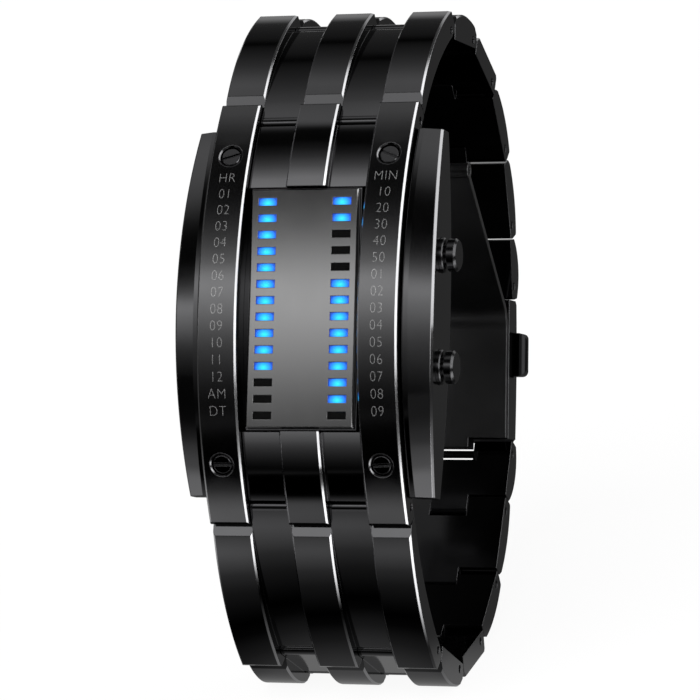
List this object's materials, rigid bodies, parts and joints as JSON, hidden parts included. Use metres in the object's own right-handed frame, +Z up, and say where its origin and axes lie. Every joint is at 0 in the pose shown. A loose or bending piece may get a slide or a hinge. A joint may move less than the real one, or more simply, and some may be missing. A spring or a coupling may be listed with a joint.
{
  "type": "binary wristwatch",
  "caption": "black metal wristwatch with an LED plate between two dial rails, side pushers and a link bracelet with folding clasp",
  "frame": {"origin": "middle of the flat outer face of the third bracelet link below the case, which the watch stands on", "axes": "+Z is up as the watch stands, its case leaning back 21 degrees with twelve o'clock up; the dial faces -Y and up, the pushers are on the +X side"},
  "size_m": [0.0317, 0.0569, 0.0755],
  "materials": {
    "black_steel": "black plated steel, polished",
    "plain_steel": "bare steel, brushed",
    "spring_steel": "spring steel",
    "seal_rubber": "moulded rubber",
    "dark_plate": "black anodised, finely brushed",
    "lit_led": "lit blue lens",
    "dark_led": "unlit smoked lens",
    "board": "printed board, solder mask",
    "frame_plastic": "moulded, matt",
    "contact_brass": "plated spring brass"
  },
  "bodies": {
    "case": {"case_body": "black_steel", "case_back": "plain_steel", "case_back_seal": "seal_rubber", "case_back_screws": "plain_steel", "hour_rail": "black_steel", "minute_rail": "black_steel", "rail_screws": "black_steel", "left_side_cover": "black_steel", "right_side_cover": "black_steel", "upper_end_link": "black_steel", "lower_end_link": "black_steel", "led_plate": "dark_plate", "plate_seal": "seal_rubber", "lit_leds": "lit_led", "dark_leds": "dark_led", "led_board": "board", "movement_frame": "frame_plastic", "coin_cell": "plain_steel", "cell_clip": "plain_steel", "switch_contacts": "contact_brass", "case_spring_bars": "plain_steel", "pusher_collars": "black_steel", "pusher_seals": "seal_rubber", "upper_pusher_spring": "spring_steel", "lower_pusher_spring": "spring_steel"},
    "upper_link_1": {"upper_link_1": "black_steel", "upper_link_pin_1": "plain_steel"},
    "upper_link_2": {"upper_link_2": "black_steel", "upper_link_pin_2": "plain_steel"},
    "upper_link_3": {"upper_link_3": "black_steel", "upper_link_pin_3": "plain_steel"},
    "upper_link_4": {"upper_link_4": "black_steel", "upper_link_pin_4": "plain_steel"},
    "upper_link_5": {"upper_link_5": "black_steel", "upper_link_pin_5": "plain_steel"},
    "upper_link_6": {"upper_link_6": "black_steel", "upper_link_pin_6": "plain_steel"},
    "lower_link_1": {"lower_link_1": "black_steel", "lower_link_pin_1": "plain_steel"},
    "lower_link_2": {"lower_link_2": "black_steel", "lower_link_pin_2": "plain_steel"},
    "lower_link_3": {"lower_link_3": "black_steel", "lower_link_pin_3": "plain_steel"},
    "lower_link_4": {"lower_link_4": "black_steel", "lower_link_pin_4": "plain_steel"},
    "lower_link_5": {"lower_link_5": "black_steel", "lower_link_pin_5": "plain_steel"},
    "lower_link_6": {"lower_link_6": "black_steel", "lower_link_pin_6": "plain_steel"},
    "clasp_cover": {"clasp_cover": "black_steel", "clasp_pivot_pin": "plain_steel", "left_clasp_spring": "spring_steel", "right_clasp_spring": "spring_steel"},
    "clasp_fold_blade": {"clasp_fold_blade": "black_steel", "clasp_hinge_pin": "plain_steel"},
    "clasp_base_blade": {"clasp_base_blade": "black_steel"},
    "upper_pusher": {"upper_pusher": "black_steel"},
    "lower_pusher": {"lower_pusher": "black_steel"},
    "left_clasp_button": {"left_clasp_button": "black_steel"},
    "right_clasp_button": {"right_clasp_button": "black_steel"}
  },
  "joints": [
    {"name": "upper_link_1_hinge", "type": "hinge", "parent": "case", "child": "upper_link_1", "pos_m": [0, -0.00586, 0.06606], "axis": [1, 0, 0], "range_deg": [0, 14.2]},
    {"name": "upper_link_2_hinge", "type": "hinge", "parent": "upper_link_1", "child": "upper_link_2", "pos_m": [0, 0.00976, 0.07327], "axis": [1, 0, 0], "range_deg": [0, 42.3]},
    {"name": "upper_link_3_hinge", "type": "hinge", "parent": "upper_link_2", "child": "upper_link_3", "pos_m": [0, 0.01901, 0.07036], "axis": [1, 0, 0], "range_deg": [0, 24.5]},
    {"name": "upper_link_4_hinge", "type": "hinge", "parent": "upper_link_3", "child": "upper_link_4", "pos_m": [0, 0.02622, 0.06386], "axis": [1, 0, 0], "range_deg": [0, 24.5]},
    {"name": "upper_link_5_hinge", "type": "hinge", "parent": "upper_link_4", "child": "upper_link_5", "pos_m": [0, 0.03009, 0.05497], "axis": [1, 0, 0], "range_deg": [0, 19.5]},
    {"name": "upper_link_6_hinge", "type": "hinge", "parent": "upper_link_5", "child": "upper_link_6", "pos_m": [0, 0.03076, 0.04529], "axis": [1, 0, 0], "range_deg": [0, 12.5]},
    {"name": "lower_link_1_hinge", "type": "hinge", "parent": "case", "child": "lower_link_1", "pos_m": [0, -0.02128, 0.02587], "axis": [-1, 0, 0], "range_deg": [0, 9.5]},
    {"name": "lower_link_2_hinge", "type": "hinge", "parent": "lower_link_1", "child": "lower_link_2", "pos_m": [0, -0.015, 0.00709], "axis": [-1, 0, 0], "range_deg": [0, 39.5]},
    {"name": "lower_link_3_hinge", "type": "hinge", "parent": "lower_link_2", "child": "lower_link_3", "pos_m": [0, -0.00677, 0.00195], "axis": [-1, 0, 0], "range_deg": [0, 32]},
    {"name": "lower_link_4_hinge", "type": "hinge", "parent": "lower_link_3", "child": "lower_link_4", "pos_m": [0, 0.00293, 0.00195], "axis": [-1, 0, 0], "range_deg": [0, 25]},
    {"name": "lower_link_5_hinge", "type": "hinge", "parent": "lower_link_4", "child": "lower_link_5", "pos_m": [0, 0.01172, 0.00605], "axis": [-1, 0, 0], "range_deg": [0, 21]},
    {"name": "lower_link_6_hinge", "type": "hinge", "parent": "lower_link_5", "child": "lower_link_6", "pos_m": [0, 0.01845, 0.01303], "axis": [-1, 0, 0], "range_deg": [0, 3.5]},
    {"name": "clasp_cover_hinge", "type": "hinge", "parent": "upper_link_6", "child": "clasp_cover", "pos_m": [0, 0.02967, 0.03797], "axis": [1, 0, 0], "range_deg": [0, 9.85]},
    {"name": "clasp_fold_hinge", "type": "hinge", "parent": "clasp_cover", "child": "clasp_fold_blade", "pos_m": [0, 0.02793, 0.03465], "axis": [-1, 0, 0], "range_deg": [0, 15]},
    {"name": "clasp_base_hinge", "type": "hinge", "parent": "clasp_fold_blade", "child": "clasp_base_blade", "pos_m": [0, 0.01358, 0.05599], "axis": [-1, 0, 0], "range_deg": [0, 50]},
    {"name": "upper_pusher_slide", "type": "slide", "parent": "case", "child": "upper_pusher", "axis": [-1, 0, 0], "range_m": [0, 0.0003], "stiffness_N_per_m": 500, "deforming": ["upper_pusher_spring"]},
    {"name": "lower_pusher_slide", "type": "slide", "parent": "case", "child": "lower_pusher", "axis": [-1, 0, 0], "range_m": [0, 0.0003], "stiffness_N_per_m": 500, "deforming": ["lower_pusher_spring"]},
    {"name": "left_clasp_button_slide", "type": "slide", "parent": "clasp_cover", "child": "left_clasp_button", "axis": [1, 0, 0], "range_m": [0, 0.0005], "stiffness_N_per_m": 400, "deforming": ["left_clasp_spring"]},
    {"name": "right_clasp_button_slide", "type": "slide", "parent": "clasp_cover", "child": "right_clasp_button", "axis": [-1, 0, 0], "range_m": [0, 0.0005], "stiffness_N_per_m": 400, "deforming": ["right_clasp_spring"]}
  ]
}
